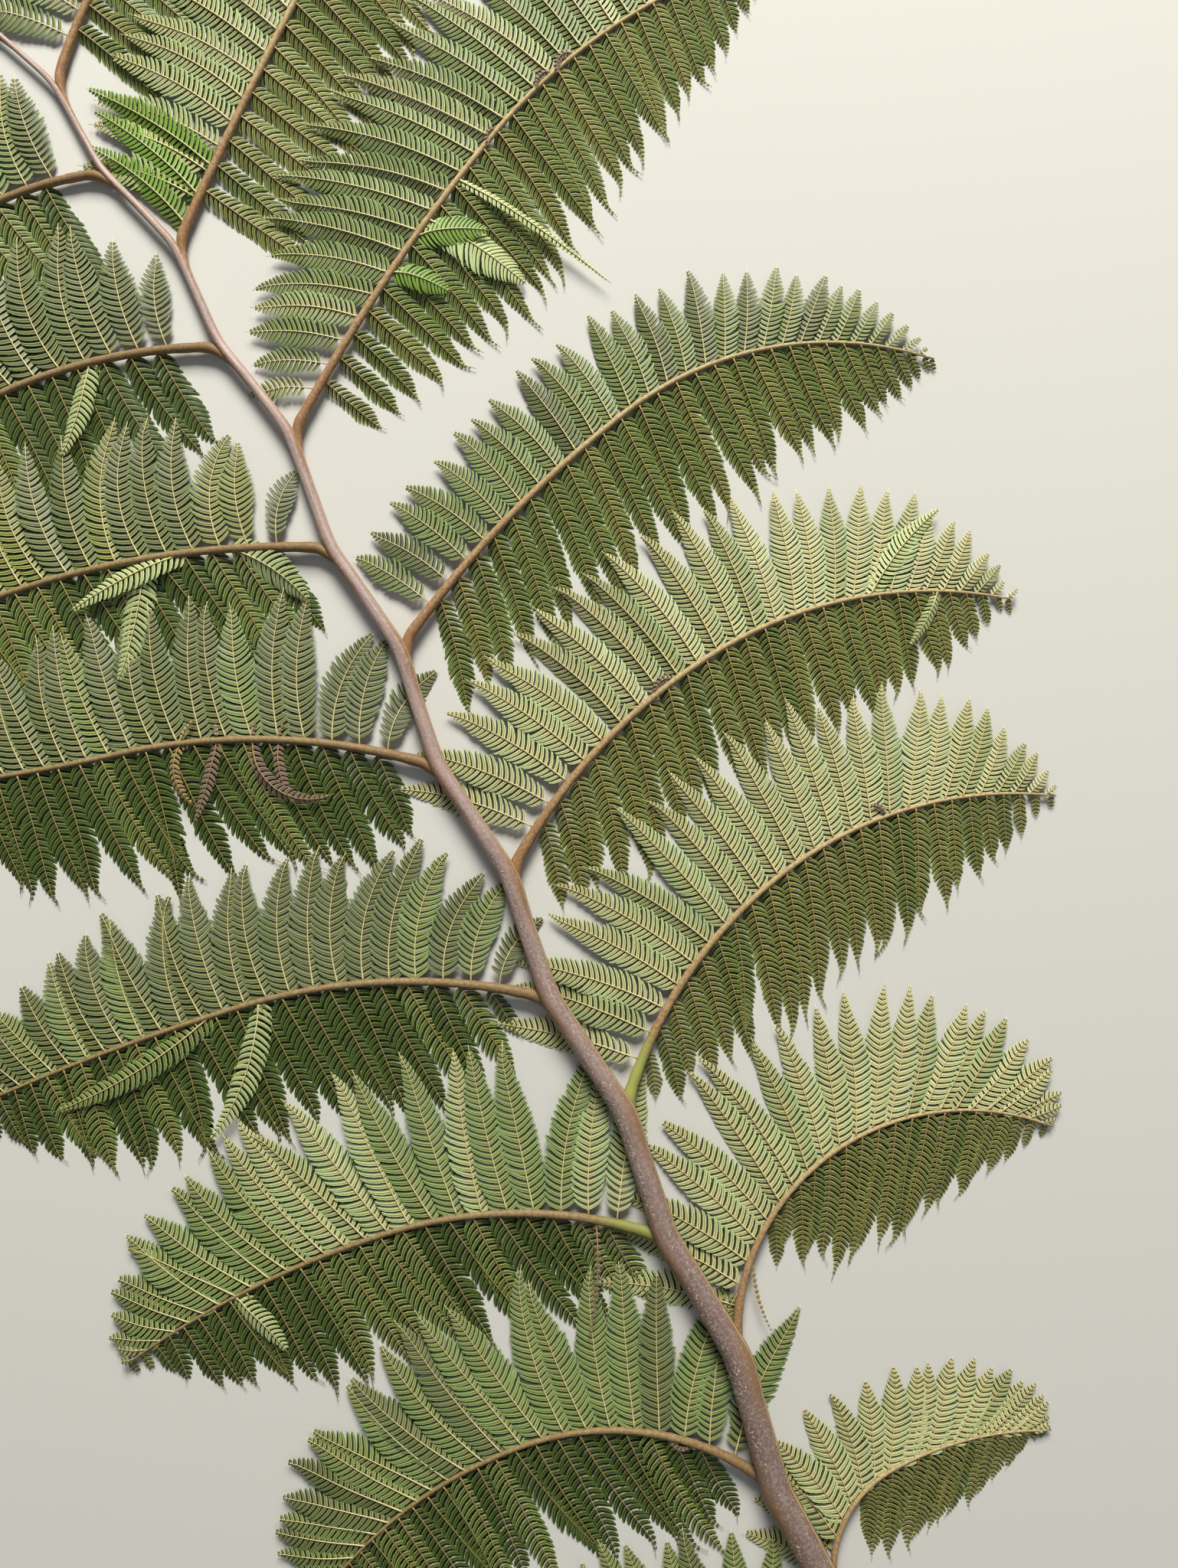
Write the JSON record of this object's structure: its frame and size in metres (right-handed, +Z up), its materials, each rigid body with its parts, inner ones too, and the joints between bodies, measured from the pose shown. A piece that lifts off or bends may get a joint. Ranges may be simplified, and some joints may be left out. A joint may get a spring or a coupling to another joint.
{
  "type": "tree fern frond",
  "caption": "Cut frond of a tree fern lying with its underside up: a tapering purple-brown stem with feathery side branches of toothed green leaflets.",
  "frame": {"origin": "under the middle of the whole frond, on the surface it lies on", "axes": "+Y from the cut end towards the frond's tip, +Z up, out of the frond's underside, +X to the right"},
  "size_m": [0.8566, 1.7122, 0.0248],
  "materials": {
    "rachis": "purple-brown scurfy stem with pale flecks",
    "foliage": "matt green leaf undersides with brown spore dots"
  },
  "bodies": {
    "root": {"rachis": "rachis", "pinna_left_01": "foliage", "pinna_right_01": "foliage", "pinna_left_02": "foliage", "pinna_right_02": "foliage", "pinna_left_03": "foliage", "pinna_right_03": "foliage", "pinna_left_04": "foliage", "pinna_right_04": "foliage", "pinna_left_05": "foliage", "pinna_right_05": "foliage", "pinna_left_06": "foliage", "pinna_right_06": "foliage", "pinna_left_07": "foliage", "pinna_right_07": "foliage", "pinna_left_08": "foliage", "pinna_right_08": "foliage", "pinna_left_09": "foliage", "pinna_right_09": "foliage", "pinna_left_10": "foliage", "pinna_right_10": "foliage", "pinna_left_11": "foliage", "pinna_right_11": "foliage", "pinna_left_12": "foliage", "pinna_right_12": "foliage", "pinna_left_13": "foliage"}
  },
  "joints": []
}
